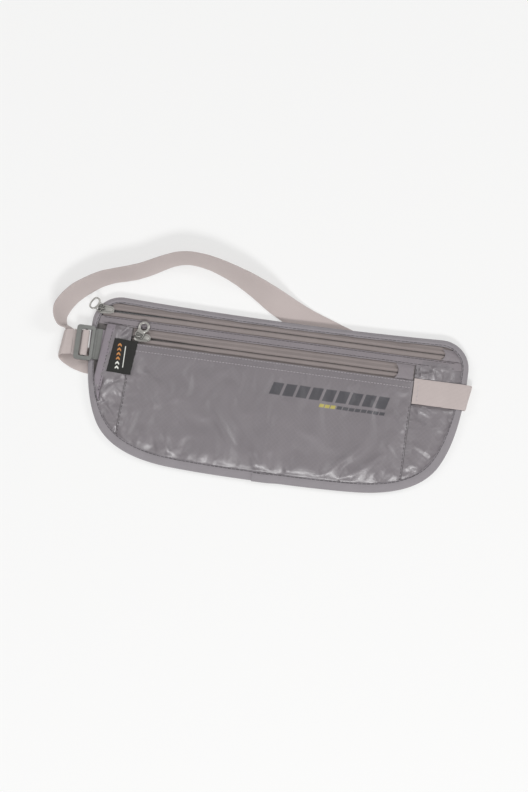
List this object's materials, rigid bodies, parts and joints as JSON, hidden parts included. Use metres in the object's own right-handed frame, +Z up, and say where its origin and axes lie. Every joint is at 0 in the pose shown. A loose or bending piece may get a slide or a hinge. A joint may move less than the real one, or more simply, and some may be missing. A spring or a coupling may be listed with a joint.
{
  "type": "travel money belt",
  "caption": "Flat zipped waist pouch for travel money and papers, with a bound curved edge, an elastic waist strap and a flat hook buckle.",
  "frame": {"origin": "on the table, under the middle of the pouch and its buckle", "axes": "+X along the zippers towards their closed ends' right side, +Y towards the pouch's straight edge, +Z up from the table through the front"},
  "size_m": [0.3134, 0.1614, 0.0189],
  "materials": {
    "face_fabric": "shiny grey-violet ripstop nylon",
    "back_fabric": "matt grey brushed nylon",
    "shielding": "metal-coated woven shielding cloth",
    "binding_tape": "folded grey grosgrain tape, stitched",
    "zip_tape": "ribbed brownish grey zipper tape",
    "zip_coil": "nylon coil",
    "zinc": "gunmetal grey painted die casting",
    "buckle_plastic": "satin grey moulded plastic",
    "elastic": "fine ribbed beige-pink elastic webbing",
    "label_weave": "black woven satin label with plain blocks of colour"
  },
  "bodies": {
    "pouch": {"rear_panel": "back_fabric", "shielding_lining": "shielding", "pocket_divider": "back_fabric", "front_pocket_panel": "face_fabric", "left_side_panel": "face_fabric", "right_side_panel": "face_fabric", "middle_band": "face_fabric", "bound_edge_strip": "binding_tape", "edge_binding": "binding_tape", "woven_label": "label_weave", "upper_zip_tape_top": "zip_tape", "upper_zip_tape_bottom": "zip_tape", "upper_zip_coil_top": "zip_coil", "upper_zip_coil_bottom": "zip_coil", "lower_zip_tape_top": "zip_tape", "lower_zip_tape_bottom": "zip_tape", "lower_zip_coil_top": "zip_coil", "lower_zip_coil_bottom": "zip_coil", "upper_zip_end_cover": "face_fabric", "lower_zip_end_cover": "face_fabric", "hook_keeper": "binding_tape", "waist_strap": "elastic", "strap_tail": "elastic"},
    "upper_slider": {"upper_slider": "zinc"},
    "upper_puller": {"upper_puller": "zinc"},
    "lower_slider": {"lower_slider": "zinc"},
    "lower_puller": {"lower_puller": "zinc"},
    "buckle": {"hook_buckle": "buckle_plastic", "strap_threaded": "elastic"}
  },
  "joints": [
    {"name": "upper_zip_slide", "type": "slide", "parent": "pouch", "child": "upper_slider", "axis": [1, 0, 0], "range_m": [0, 0.24]},
    {"name": "upper_pull_hinge", "type": "hinge", "parent": "upper_slider", "child": "upper_puller", "pos_m": [-0.1292, 0.05045, 0.00785], "axis": [0.5, 0.866, 0], "range_deg": [0, 140]},
    {"name": "lower_zip_slide", "type": "slide", "parent": "pouch", "child": "lower_slider", "axis": [1, 0, 0], "range_m": [0, 0.18]},
    {"name": "lower_pull_hinge", "type": "hinge", "parent": "lower_slider", "child": "lower_puller", "pos_m": [-0.0997, 0.03305, 0.00785], "axis": [0.9135, -0.4067, 0], "range_deg": [0, 140]},
    {"name": "buckle_hinge", "type": "hinge", "parent": "pouch", "child": "buckle", "pos_m": [-0.1263, 0.02345, 0.00695], "axis": [0, 1, 0], "range_deg": [0, 25]}
  ]
}
